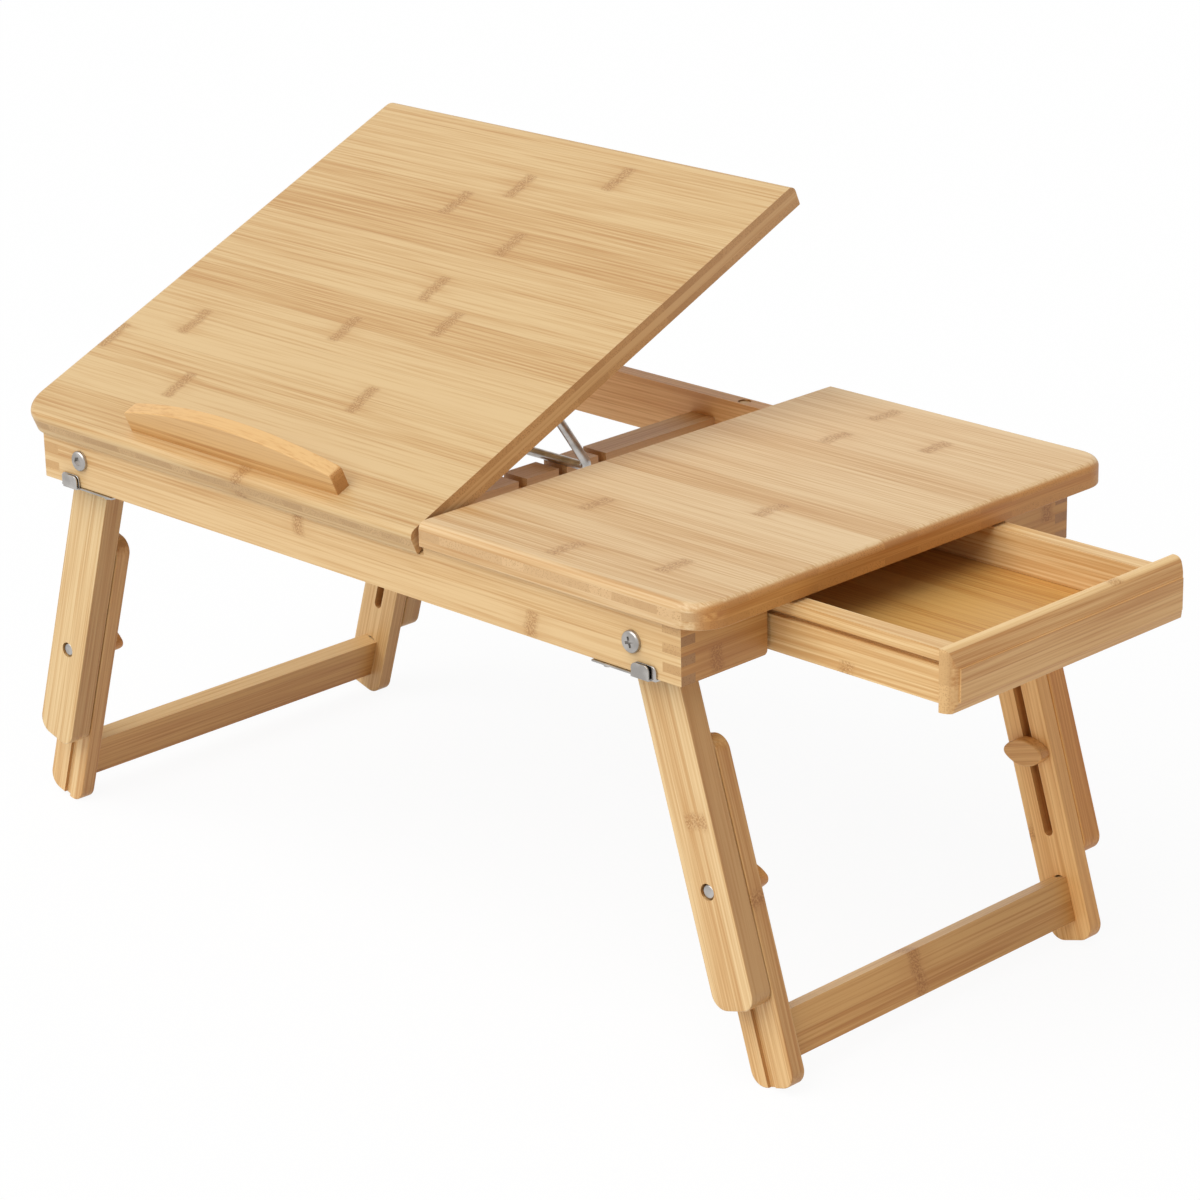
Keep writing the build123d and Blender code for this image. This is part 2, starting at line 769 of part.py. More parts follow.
clip_bore = wire_radius + clip_clearance
clip_outer = clip_bore + clip_thickness
clip_reach = clip_outer + clip_foot
clip_middles = (wire_right - wire_pivot_length / 2, wire_left + wire_pivot_length / 2)
closed_prop_y = hinge_y + prop_place
closed_prop_z = hinge_z - prop_drop


def clip_screw_places():
    """Where the clips' screws stand, drawn closed."""
    offset = clip_outer + clip_foot / 2
    return [(x, closed_prop_y + side * offset) for x in clip_middles for side in (-1, 1)]


def clip_screw(x, y):
    """A pan-head screw up through a clip's foot into the tilt top, drawn closed."""
    seat = hinge_z - clip_thickness
    head = rod_z(screw_head_diameter / 2, seat - screw_head_height, seat, x, y)
    return head + rod_z(screw_diameter / 2, seat, hinge_z + screw_length, x, y)


def make_clip(middle):
    """The saddle that holds one end of the prop against the tilt top, drawn closed."""
    x0, x1 = middle - clip_width / 2, middle + clip_width / 2
    saddle = rod_x(clip_outer, x0, x1, closed_prop_y, closed_prop_z)
    feet = (closed_prop_y - clip_reach, closed_prop_y + clip_reach)
    saddle += block(x0, x1, *feet, hinge_z - clip_thickness, hinge_z)
    mouth = (closed_prop_y - clip_bore, closed_prop_y + clip_bore)
    upper = block(x0, x1, *mouth, closed_prop_z, hinge_z + overrun)
    bore = rod_x(clip_bore, x0 - overrun, x1 + overrun, closed_prop_y, closed_prop_z)
    above = block(x0, x1, *feet, hinge_z, hinge_z + clip_reach)
    return saddle - upper - bore - above


def hinge_screw_tops():
    """Where the screws of the hinges' top leaves stand, drawn closed."""
    y = hinge_y + hinge_leaf / 2 + hinge_knuckle_radius / 2
    return [(middle + side * hinge_screw_spread / 2, y) for middle in hinge_places for side in (-1, 1)]


def make_tilt_top():
    """The large tilting panel, let in for its hinges, drawn closed."""
    corners = {(False, False): top_corner_round, (False, True): tilt_rear_corner_round}
    panel = top_blank(-half_top, tilt_right, hinge_z, corners)
    cuts = [*hinge_recess(), *dowel_rod(shaft_clearance)]
    cuts += [top_leaf(x0, x1) for x0, x1 in hinge_spans()]
    cuts += [top_hinge_screw(x, y) for x, y in hinge_screw_tops()]
    cuts += [clip_screw(x, y) for x, y in clip_screw_places()]
    for cut in cuts:
        panel -= cut
    return panel


def make_ledge():
    """The arched ledge that keeps a book from sliding off, drawn closed."""
    x0, x1 = ledge_middle - ledge_length / 2, ledge_middle + ledge_length / 2
    foot, shoulder, crown = top_surface, top_surface + ledge_end_height, top_surface + ledge_mid_height
    outline = make_face([
        Line((x0, foot), (x1, foot)),
        Line((x1, foot), (x1, shoulder)),
        ThreePointArc((x1, shoulder), (ledge_middle, crown), (x0, shoulder)),
        Line((x0, shoulder), (x0, foot)),
    ])
    outline = fillet(outline.vertices().group_by(Axis.Y)[-1], ledge_end_round)
    ledge = along_y(outline, ledge_setback, ledge_setback + ledge_thickness)
    rim = [e for e in ledge.edges() if e.center().Z > foot + near and abs(e.center().Y - ledge_y) > near]
    ledge = fillet(rim, ledge_edge_round)
    for hole in dowel_rod(shaft_clearance):
        ledge -= hole
    return ledge


def make_knuckles(x0, x1, outer):
    """The knuckles of one leaf, the two outer ones or the middle one, without their bore."""
    mid = (x1 - x0) * hinge_mid_share / 2
    middle = (x0 + x1) / 2
    gap = hinge_knuckle_gap
    spans = [(x0, middle - mid - gap), (middle + mid + gap, x1)] if outer else [(middle - mid, middle + mid)]
    return [rod_x(hinge_knuckle_radius, a, b, hinge_y, hinge_z) for a, b in spans], spans


def make_hinge_leaf(x0, x1, outer):
    """One leaf of a hinge with its knuckles, drawn closed."""
    knuckles, spans = make_knuckles(x0, x1, outer)
    leaf = frame_leaf(x0, x1) if outer else top_leaf(x0, x1)
    others = make_knuckles(x0, x1, not outer)[1]
    for a, b in others:
        ends = (max(a - hinge_knuckle_gap, x0 - overrun), min(b + hinge_knuckle_gap, x1 + overrun))
        leaf -= rod_x(hinge_knuckle_radius + hinge_knuckle_gap, *ends, hinge_y, hinge_z)
    for knuckle in knuckles:
        leaf += knuckle
    return leaf - rod_x(hinge_pin_radius + shaft_clearance, x0 - overrun, x1 + overrun, hinge_y, hinge_z)


frame_leaves = [make_hinge_leaf(x0, x1, True) for x0, x1 in hinge_spans()]
top_leaves = [make_hinge_leaf(x0, x1, False) for x0, x1 in hinge_spans()]
frame_hinge_screws = [frame_hinge_screw(x, z) for x, z in frame_screw_places()]
top_hinge_screws = [top_hinge_screw(x, y) for x, y in hinge_screw_tops()]
for screw in frame_hinge_screws:
    frame_leaves = [leaf - screw for leaf in frame_leaves]
for screw in top_hinge_screws:
    top_leaves = [leaf - screw for leaf in top_leaves]
clip_screws = [clip_screw(x, y) for x, y in clip_screw_places()]
clips = [make_clip(middle) for middle in clip_middles]
for screw in clip_screws:
    clips = [clip - screw for clip in clips]

fixed_corners = {(True, False): top_corner_round, (True, True): top_corner_round}
parts["fixed_top"] = top_blank(fixed_left, half_top, rail_top, fixed_corners)
parts["tilt_top"] = tilted(make_tilt_top())
parts["book_ledge"] = tilted(make_ledge())
parts["ledge_dowels"] = group([tilted(dowel) for dowel in dowel_rod(0)])
parts["hinge_frame_leaves"] = group(frame_leaves)
parts["hinge_top_leaves"] = group([tilted(leaf) for leaf in top_leaves])
parts["hinge_pins"] = group([rod_x(hinge_pin_radius, a, b, hinge_y, hinge_z) for a, b in hinge_spans()])
parts["hinge_frame_screws"] = group(frame_hinge_screws)
parts["hinge_top_screws"] = group([tilted(screw) for screw in top_hinge_screws])
parts["prop_clips"] = group([tilted(clip) for clip in clips])
parts["prop_clip_screws"] = group([tilted(screw) for screw in clip_screws])


def make_prop():
    """The steel wire bail, its ends turned inward to turn in the clips."""
    path = FilletPolyline(
        (wire_right - wire_pivot_length, prop_y, prop_z),
        (wire_right, prop_y, prop_z),
        (wire_right, foot_y, foot_z),
        (wire_left, foot_y, foot_z),
        (wire_left, prop_y, prop_z),
        (wire_left + wire_pivot_length, prop_y, prop_z),
        radius=wire_bend,
    )
    section = Plane(origin=path @ 0, z_dir=path % 0) * Circle(wire_radius)
    return sweep(section, path)


parts["prop_wire"] = make_prop()

# Drawer


def runner_groove(y_face, inward):
    """The groove along a drawer side's outer face, closed, from its back end to the drawer front."""
    depth = runner_reach + runner_gap
    y0, y1 = sorted((y_face, y_face + inward * depth))
    start, end = drawer_back_face - overrun, drawer_face - drawer_front_thickness
    return block(start, end, y0, y1, runner_bottom - runner_gap, runner_top + runner_gap)


def drawer_floor(gap):
    """The drawer's bottom board, with its tongues in the boards round it."""
    x0 = drawer_back_face + drawer_back_thickness - drawer_bottom_tongue - gap
    x1 = drawer_face - drawer_front_thickness + drawer_bottom_tongue + gap
    y0 = drawer_side_front + drawer_side_thickness - drawer_bottom_tongue - gap
    y1 = drawer_side_rear - drawer_side_thickness + drawer_bottom_tongue + gap
    z0 = drawer_side_bottom + drawer_bottom_lift
    return block(x0, x1, y0, y1, z0 - gap, z0 + drawer_bottom_thickness + gap)


def make_drawer_side(front):
    """A drawer side with its runner groove, closed."""
    y0 = drawer_side_front if front else drawer_side_rear - drawer_side_thickness
    y1 = y0 + drawer_side_thickness
    x0, x1 = drawer_back_face, drawer_face - drawer_front_thickness
    side = block(x0, x1, y0, y1, drawer_side_bottom, drawer_side_top)
    groove = runner_groove(y0, 1) if front else runner_groove(y1, -1)
    return side - groove - drawer_floor(drawer_groove_gap)


def make_drawer_back():
    """The drawer's back board, between the sides."""
    y0 = drawer_side_front + drawer_side_thickness
    y1 = drawer_side_rear - drawer_side_thickness
    x0, x1 = drawer_back_face, drawer_back_face + drawer_back_thickness
    back = block(x0, x1, y0, y1, drawer_side_bottom, drawer_side_top)
    return back - drawer_floor(drawer_groove_gap)


def make_drawer_front():
    """The drawer front: a lip that rolls over the top, a raised field and a lower edge that slants in."""
    back, face = drawer_face - drawer_front_thickness, drawer_face
    bottom, top = rail_bottom - drawer_front_drop, drawer_side_top + drawer_lip_rise
    outline = polygon([
        (back, bottom),
        (face - drawer_slant, bottom),
        (face, bottom + drawer_slant_height),
        (face, top - drawer_slope_height),
        (face - drawer_slope, top),
        (back, top),
    ])
    lip = Vector(face - drawer_slope, top, 0)
    outline = fillet([v for v in outline.vertices() if (Vector(v) - lip).length < near], drawer_lip_round)
    board = along_y(outline, board_front, board_rear)
    plan = polygon([(back, board_front), (face, board_front), (face, board_rear), (back, board_rear)])
    for end, radius in ((board_front, drawer_end_round), (board_rear, drawer_rear_end_round)):
        corner = Vector(face, end, 0)
        plan = fillet([v for v in plan.vertices() if (Vector(v) - corner).length < near], radius)
    board &= extrude(Pos(0, 0, bottom) * plan, top - bottom)
    field_low, field_high = bottom + drawer_slant_height, top - drawer_slope_height
    y0, y1 = board_front + field_margin, board_rear - field_rear_margin
    board += block(face - field_proud, face + field_proud, y0, y1, field_low, field_high)
    return board - drawer_floor(drawer_groove_gap)


slide_open = Pos(drawer_open, 0, 0)
parts["drawer_front"] = slide_open * make_drawer_front()
parts["drawer_side_front"] = slide_open * make_drawer_side(True)
parts["drawer_side_rear"] = slide_open * make_drawer_side(False)
parts["drawer_back"] = slide_open * make_drawer_back()
parts["drawer_bottom"] = slide_open * drawer_floor(0)


def make_runner():
    """The thin strip on the front guide that the drawer side's groove slides on."""
    tip = drawer_side_front + runner_reach
    return block(divider_right, inner_right, guide_face, tip, runner_bottom, runner_top)


def make_guide(y0, y1):
    """A guide board beside the drawer, behind the end of a stub."""
    return block(divider_right, inner_right, y0, y1, rail_bottom + guide_lift, rail_top)


divider_left = fixed_left + divider_inset
divider_right = divider_left + divider_thickness
guide_ends = (guide_face - guide_thickness, rear_guide_face + rear_guide_thickness)
parts["drawer_guide_front"] = make_guide(guide_ends[0], guide_face)
parts["drawer_guide_rear"] = make_guide(rear_guide_face, guide_ends[1])
parts["drawer_runner_front"] = make_runner()
parts["drawer_runner_rear"] = mirror(parts["drawer_runner_front"], about=drawer_mirror)
parts["drawer_divider"] = block(divider_left, divider_right, *guide_ends, rail_bottom + guide_lift, rail_top)

os.makedirs("parts", exist_ok=True)
for name, shape in parts.items():
    export_step(to_origin * shape, f"parts/{name}.step")
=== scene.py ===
import json
import math

import bpy
from mathutils import Matrix, Vector

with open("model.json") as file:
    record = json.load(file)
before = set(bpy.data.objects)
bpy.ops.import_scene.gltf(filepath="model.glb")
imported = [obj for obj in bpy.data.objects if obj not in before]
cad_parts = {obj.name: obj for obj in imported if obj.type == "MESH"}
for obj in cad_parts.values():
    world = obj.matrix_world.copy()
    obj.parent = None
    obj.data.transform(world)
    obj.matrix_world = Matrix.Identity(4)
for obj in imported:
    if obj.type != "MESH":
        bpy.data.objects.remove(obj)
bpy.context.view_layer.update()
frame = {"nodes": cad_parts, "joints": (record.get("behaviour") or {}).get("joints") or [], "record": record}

# The camera, in metres and degrees, as the photograph was taken
camera_place = (1.52361, -1.50903, 0.94936)
camera_azimuth = 45.2083
camera_elevation = 19.9104
camera_roll = 1.2018
camera_lens = 119.703
sensor_width = 36.0

# Light and stage
sky_light = 0.42
sun_power = 2.4
sun_spread = 64.0
sun_direction = (0.04, 0.75, -1.0)
floor_half = 9.0
floor_tone = (0.93, 0.93, 0.93)
floor_rough = 0.9
floor_shine = 0.1
floor_white_share = 0.93
white = (1.0, 1.0, 1.0)
white_strength = 1.0

# Bamboo, in metres
panel_strip = 0.026
board_strip = 0.017
leg_strip = 0.018
ply_strip = 0.016
seam_width = 0.0004
mark_half_length = 0.0040
mark_soft = 0.0026
mark_wander = 0.0024
mark_fray = 0.0022
mark_halo = 0.022
mark_period = 0.23
panel_thickness = 0.014
end_dot = 0.0010

# Its plies, how often marks come, and the form of the dots in its end grain
ply_count = 3
mark_chance = 0.30
end_dot_stretch = 0.25
end_dot_scatter = 0.65

# Waves of the grain in a metre, along and across it
fibre_waves = (9.0, 720.0)
streak_waves = (6.0, 290.0)
broad_waves = (2.4, 46.0)
speckle_waves = (900.0, 1000.0)
wander_waves = 90.0
fray_waves = 700.0

# The noise that they are made of: finer waves added, and their strength
fibre_detail = 2.0
streak_detail = 3.0
broad_detail = 2.0
mark_detail = 1.0
grain_roughness = 0.6
mark_roughness = 0.5

# How much each part of the bamboo's look counts
fibre_share = 0.80
streak_share = 0.19
broad_share = 0.15
tone_share = 0.20
halo_share = 0.50
mark_tint_share = 0.60
speckle_share = 0.44
fleck_share = 0.40
seam_share = 0.22
end_tone_share = 0.80

# The middle of values between 0 and 1
middle_value = 0.5

# Values between which a look fades in, the first with none of it
mid_limits = (0.34, 0.56)
light_limits = (0.47, 0.73)
speckle_limits = (0.50, 0.60)
fleck_limits = (0.46, 0.38)
shadow_limits = (0.66, 0.34)
end_dot_limits = (0.22, 0.5)
end_face_limits = (0.55, 0.8)
side_face_limits = (0.45, 0.9)
steel_cloud_limits = (0.3, 0.7)

# Steps that keep apart what is drawn at random for pieces, strips and marks
tilt_top_seed = 0.37
fixed_top_seed = 0.81
piece_seed_step = 0.13
strip_seed_step = 7.31
tone_seed_step = 13.7
turn_seed_step = 29.3
tone_depth_step = 3.0
mark_cell_step = 5.7
mark_tone_step = 91.0

# Polish and relief, its height in metres
relief_height = 0.00012
bamboo_rough = 0.40
bamboo_rough_swing = 0.16
bamboo_relief = 0.35
bamboo_speckle_dip = 0.5
satin_rough = 0.22
satin_scratches = 900.0
bright_rough = 0.10
bright_scratches = 700.0
steel_rough_swing = 0.2
steel_relief = 0.12
steel_detail = 4.0
steel_roughness = 0.65
steel_cloud_detail = 2.0
steel_cloud_ratio = 9

# Where node marks lie on the panels and on some boards: along the grain and across it, in metres
tilt_marks = (
    (-0.085, 0.255), (-0.146, 0.231), (-0.176, 0.205), (-0.108, 0.181), (-0.124, 0.131), (-0.090, 0.106),
    (-0.152, 0.082), (-0.259, 0.056), (-0.305, 0.028), (-0.219, 0.005), (-0.089, 0.033), (-0.113, -0.041),
)
fixed_marks = (
    (0.095, 0.142), (0.101, 0.092), (0.155, 0.115), (0.160, -0.026), (0.082, -0.080), (0.122, -0.142),
    (0.183, -0.124),
)
board_marks = {
    "front_rail": ((0.115, 0.231), (-0.069, 0.245)),
    "right_front_stub": ((-0.135, 0.232),),
    "stretcher_right": ((-0.0195, 0.0425), (-0.0185, 0.0555)),
    "upper_leg_right_front": ((-0.075, -0.254),),
    "lower_leg_right_front": ((-0.027, -0.262),),
    "upper_leg_left_front": (),
}

# Colours, linear
bamboo_dark = (0.57, 0.305, 0.102)
bamboo_mid = (0.68, 0.425, 0.178)
bamboo_light = (0.79, 0.555, 0.275)
mark_tone = (0.50, 0.260, 0.086)
mark_colour = (0.34, 0.150, 0.040)
seam_colour = (0.45, 0.25, 0.09)
end_light = (0.73, 0.47, 0.210)
end_dark = (0.55, 0.320, 0.125)
steel_light = (0.56, 0.535, 0.51)
steel_dark = (0.36, 0.340, 0.32)

# Tints of the bamboo pieces, by how their names begin: partly their own tone and partly painted light and
# shade, set piece by piece, such as the lighter rear right legs that stand in the desk's shade and the
# darker, warmer drawer bottom and stubs where shade falls
tone_and_painted_light_tints = {
    "": (0.97, 0.95, 0.93),
    "tilt_top": (0.82, 0.815, 0.81),
    "fixed_top": (0.93, 0.945, 1.045),
    "front_rail": (0.91, 0.89, 0.88),
    "book_ledge": (0.91, 0.79, 0.63),
    "rear_rail": (1.06, 0.92, 0.84),
    "right_front_stub": (0.84, 0.80, 0.76),
    "right_rear_stub": (0.84, 0.80, 0.76),
    "center_notched_bar": (0.87, 0.80, 0.82),
    "drawer_bottom": (0.80, 0.65, 0.38),
    "drawer_side": (1.06, 1.09, 1.13),
    "drawer_front": (1.02, 1.00, 0.97),
    "upper_leg_left": (0.96, 0.99, 1.03),
    "upper_leg_right_front": (0.96, 0.96, 0.98),
    "upper_leg_right_rear": (1.26, 1.10, 0.82),
    "lower_leg_right_rear": (1.22, 1.09, 0.91),
    "clamp_knob": (0.96, 0.80, 0.62),
}

# Further tints of their faces that look along X: painted shade, darker and warmer, on these less lit sides,
# partly also the other tone of their edge grain
side_grain_and_painted_shade_tints = {
    "": (0.85, 0.73, 0.62),
    "tilt_top": (1.02, 0.89, 0.80),
    "fixed_top": (0.82, 0.57, 0.28),
    "front_rail": (0.58, 0.46, 0.36),
    "rear_rail": (0.52, 0.44, 0.36),
    "right_front_stub": (0.81, 0.62, 0.39),
    "right_rear_stub": (0.81, 0.62, 0.39),
    "upper_leg": (0.68, 0.54, 0.41),
    "lower_leg": (0.75, 0.62, 0.49),
    "stretcher": (0.77, 0.61, 0.41),
}

# The mix node's colour sockets, by number, since others share their names
first_colour, second_colour, mixed_colour = 6, 7, 2


class Graph:
    """Makes shader nodes. A value is a number, a tuple or another node's output."""

    def __init__(self, tree):
        self.tree = tree

    def node(self, kind, values=(), **settings):
        made = self.tree.nodes.new(kind)
        for name, value in settings.items():
            setattr(made, name, value)
        for socket, value in (values.items() if isinstance(values, dict) else enumerate(values)):
            self.put(made.inputs[socket], value)
        return made

    def put(self, socket, value):
        if isinstance(value, bpy.types.NodeSocket):
            self.tree.links.new(value, socket)
        elif isinstance(value, tuple) and len(value) == 3 and socket.type == "RGBA":
            socket.default_value = (*value, 1.0)
        else:
            socket.default_value = value

    def math(self, operation, *values, clamp=False):
        return self.node("ShaderNodeMath", values, operation=operation, use_clamp=clamp).outputs[0]

    def ramp(self, value, low, high, to_low=0.0, to_high=1.0):
        """value between low and high, as a smooth step between to_low and to_high."""
        values = {"Value": value, "From Min": low, "From Max": high, "To Min": to_low, "To Max": to_high}
        return self.node("ShaderNodeMapRange", values, interpolation_type="SMOOTHSTEP").outputs[0]

    def mix(self, share, first, second):
        """Colours mixed by share."""
        made = self.node("ShaderNodeMix", data_type="RGBA")
        self.put(made.inputs["Factor"], share)
        self.put(made.inputs[first_colour], first)
        self.put(made.inputs[second_colour], second)
        return made.outputs[mixed_colour]

    def times(self, colour, tint):
        """A colour multiplied by a tint."""
        made = self.node("ShaderNodeMix", data_type="RGBA", blend_type="MULTIPLY")
        made.inputs["Factor"].default_value = 1.0
        self.put(made.inputs[first_colour], colour)
        self.put(made.inputs[second_colour], tint)
        return made.outputs[mixed_colour]

    def blend(self, share, first, second):
        """Numbers mixed by share."""
        return self.math("ADD", self.math("MULTIPLY", self.math("SUBTRACT", second, first), share), first)

    def seen_rays(self):
        """1 for rays that show the stage, in view or in a reflection, and 0 for rays that light things."""
        path = self.node("ShaderNodeLightPath").outputs
        return self.math("MAXIMUM", self.math("MAXIMUM", path["Is Camera Ray"], path["Is Glossy Ray"]),
                         path["Is Transmission Ray"])

    def point(self, x, y, z):
        return self.node("ShaderNodeCombineXYZ", (x, y, z)).outputs[0]

    def noise(self, point, detail, rough):
        values = {"Vector": point, "Scale": 1.0, "Detail": detail, "Roughness": rough}
        return self.node("ShaderNodeTexNoise", values).outputs[0]

    def chance(self, value):
        """A steady random number for each value."""
        return self.node("ShaderNodeTexWhiteNoise", {"W": value}, noise_dimensions="1D").outputs[0]

    def dot(self, first, second):
        values = {0: first, 1: second}
        return self.node("ShaderNodeVectorMath", values, operation="DOT_PRODUCT").outputs["Value"]


def new_group(name, inputs, outputs):
    """An empty node group with number inputs: its graph, its input sockets and its output node."""
    tree = bpy.data.node_groups.new(name, "ShaderNodeTree")
    for label in inputs:
        tree.interface.new_socket(label, in_out="INPUT", socket_type="NodeSocketFloat")
    for label, kind in outputs:
        tree.interface.new_socket(label, in_out="OUTPUT", socket_type=kind)
    graph = Graph(tree)
    start = graph.node("NodeGroupInput")
    end = graph.node("NodeGroupOutput")
    return graph, start.outputs, end


def make_mark_group():
    """A node mark: a frayed bar across the grain, and the shading to either side of it."""
    outputs = (("Mark", "NodeSocketFloat"), ("Halo", "NodeSocketFloat"))
    g, given, end = new_group("node_mark", ("Off", "Across", "Depth", "Seed"), outputs)

    def lean(waves, reach):
        spot = g.point(
            g.math("MULTIPLY", given["Across"], waves),
            g.math("MULTIPLY", given["Depth"], waves),
            given["Seed"],
        )
        wave = g.math("SUBTRACT", g.noise(spot, mark_detail, mark_roughness), middle_value)
        return g.math("MULTIPLY", wave, 2 * reach)

    wandered = g.math("ADD", given["Off"], lean(wander_waves, mark_wander))
    frayed = g.math("ADD", wandered, lean(fray_waves, mark_fray))
    length = g.math("ABSOLUTE", frayed)
    inside = g.ramp(length, mark_half_length + mark_soft, mark_half_length - mark_soft)
    g.put(end.inputs["Mark"], inside)
    g.put(end.inputs["Halo"], g.ramp(length, mark_halo, 0.0))
    return g.tree


def make_bamboo_group():
    """Bamboo strips with fibres, seams, node marks and dotted end grain."""
    names = ("Along", "Across", "Depth", "End", "Seed", "Strip", "Own Marks", "Mark", "Halo")
    outputs = (
        ("Colour", "NodeSocketColor"),
        ("Roughness", "NodeSocketFloat"),
        ("Height", "NodeSocketFloat"),
    )
    g, given, end = new_group("bamboo", names, outputs)
    along, across, depth, seed = given["Along"], given["Across"], given["Depth"], given["Seed"]

    def stepped(value, number, step):
        """value with a number of steps added."""
        return g.math("ADD", value, g.math("MULTIPLY", number, step))

    shifted = stepped(g.math("DIVIDE", across, given["Strip"]), seed, strip_seed_step)
    strip = g.math("FLOOR", shifted)
    place = g.math("FRACT", shifted)
    tone = g.chance(stepped(strip, seed, tone_seed_step))
    turn = g.chance(stepped(strip, seed, turn_seed_step))
    deep = stepped(depth, tone, tone_depth_step)

    def grain(waves, detail, rough):
        long_waves, cross_waves = waves
        spot = g.point(
            g.math("MULTIPLY", along, long_waves),
            g.math("MULTIPLY", across, cross_waves),
            g.math("MULTIPLY", deep, cross_waves),
        )
        return g.noise(spot, detail, rough)

    fibre = grain(fibre_waves, fibre_detail, grain_roughness)
    streak = grain(streak_waves, streak_detail, grain_roughness)
    broad = grain(broad_waves, broad_detail, grain_roughness)
    value = g.math("MULTIPLY", fibre, fibre_share)
    value = stepped(value, streak, streak_share)
    value = stepped(value, broad, broad_share)
    value = stepped(value, g.math("SUBTRACT", tone, middle_value), tone_share)
    low = g.mix(g.ramp(value, *mid_limits), bamboo_dark, bamboo_mid)
    colour = g.mix(g.ramp(value, *light_limits), low, bamboo_light)

    edge = g.math("MULTIPLY", g.math("MINIMUM", place, g.math("SUBTRACT", 1.0, place)), given["Strip"])
    seam = g.ramp(edge, seam_width, 0.0, 0.0, seam_share)
    colour = g.mix(seam, colour, seam_colour)

    cycle = g.math("ADD", g.math("DIVIDE", along, mark_period), turn)
    cell = g.math("FLOOR", cycle)
    off = g.math("MULTIPLY", g.math("SUBTRACT", g.math("FRACT", cycle), middle_value), mark_period)
    draw = g.chance(stepped(g.math("MULTIPLY", cell, mark_cell_step), tone, mark_tone_step))
    drawn = g.math("MULTIPLY", g.math("LESS_THAN", draw, mark_chance), given["Own Marks"])
    own = g.node("ShaderNodeGroup", node_tree=mark_group)
    for socket, given_value in zip(own.inputs, (off, across, depth, strip)):
        g.put(socket, given_value)
    mark = g.math("MAXIMUM", g.math("MULTIPLY", own.outputs["Mark"], drawn), given["Mark"])
    halo = g.math("MAXIMUM", g.math("MULTIPLY", own.outputs["Halo"], drawn), given["Halo"])
    grit = grain(speckle_waves, mark_detail, mark_roughness)
    speckle = g.math("MULTIPLY", mark, g.ramp(grit, *speckle_limits))
    fleck = g.math("MULTIPLY", mark, g.ramp(grit, *fleck_limits))
    shadow = g.math("MULTIPLY", halo, g.ramp(streak, *shadow_limits))
    colour = g.mix(g.math("MULTIPLY", shadow, halo_share), colour, bamboo_dark)
    colour = g.mix(g.math("MULTIPLY", mark, mark_tint_share), colour, mark_tone)
    colour = g.mix(g.math("MULTIPLY", fleck, fleck_share), colour, bamboo_light)
    colour = g.mix(g.math("MULTIPLY", speckle, speckle_share), colour, mark_colour)

    dots = g.node("ShaderNodeTexVoronoi", {
        "Vector": g.point(g.math("MULTIPLY", along, end_dot_stretch), across, depth),
        "Scale": 1.0 / end_dot,
        "Randomness": end_dot_scatter,
    }).outputs[0]
    dotted = g.mix(g.ramp(dots, *end_dot_limits), end_dark, end_light)
    dotted = g.mix(g.math("MULTIPLY", g.math("SUBTRACT", 1.0, tone), end_tone_share), dotted, end_dark)
    colour = g.mix(given["End"], colour, dotted)

    rough = g.math("ADD", g.math("MULTIPLY", fibre, bamboo_rough_swing), bamboo_rough)
    height = g.math("SUBTRACT", fibre, g.math("MULTIPLY", speckle, bamboo_speckle_dip))
    g.put(end.inputs["Colour"], colour)
    g.put(end.inputs["Roughness"], rough)
    g.put(end.inputs["Height"], height)
    return g.tree


mark_group = make_mark_group()
bamboo_group = make_bamboo_group()


def new_material(name):
    """A material with an empty graph, its shader and its output."""
    material = bpy.data.materials.new(name)
    material.use_nodes = True
    material.node_tree.nodes.clear()
    graph = Graph(material.node_tree)
    shader = graph.node("ShaderNodeBsdfPrincipled")
    output = graph.node("ShaderNodeOutputMaterial")
    graph.put(output.inputs["Surface"], shader.outputs[0])
    return material, graph, shader


def raise_grain(graph, shader, height, strength):
    """A faint relief on the shader."""
    values = {"Strength": strength, "Distance": relief_height, "Height": height}
    graph.put(shader.inputs["Normal"], graph.node("ShaderNodeBump", values).outputs[0])


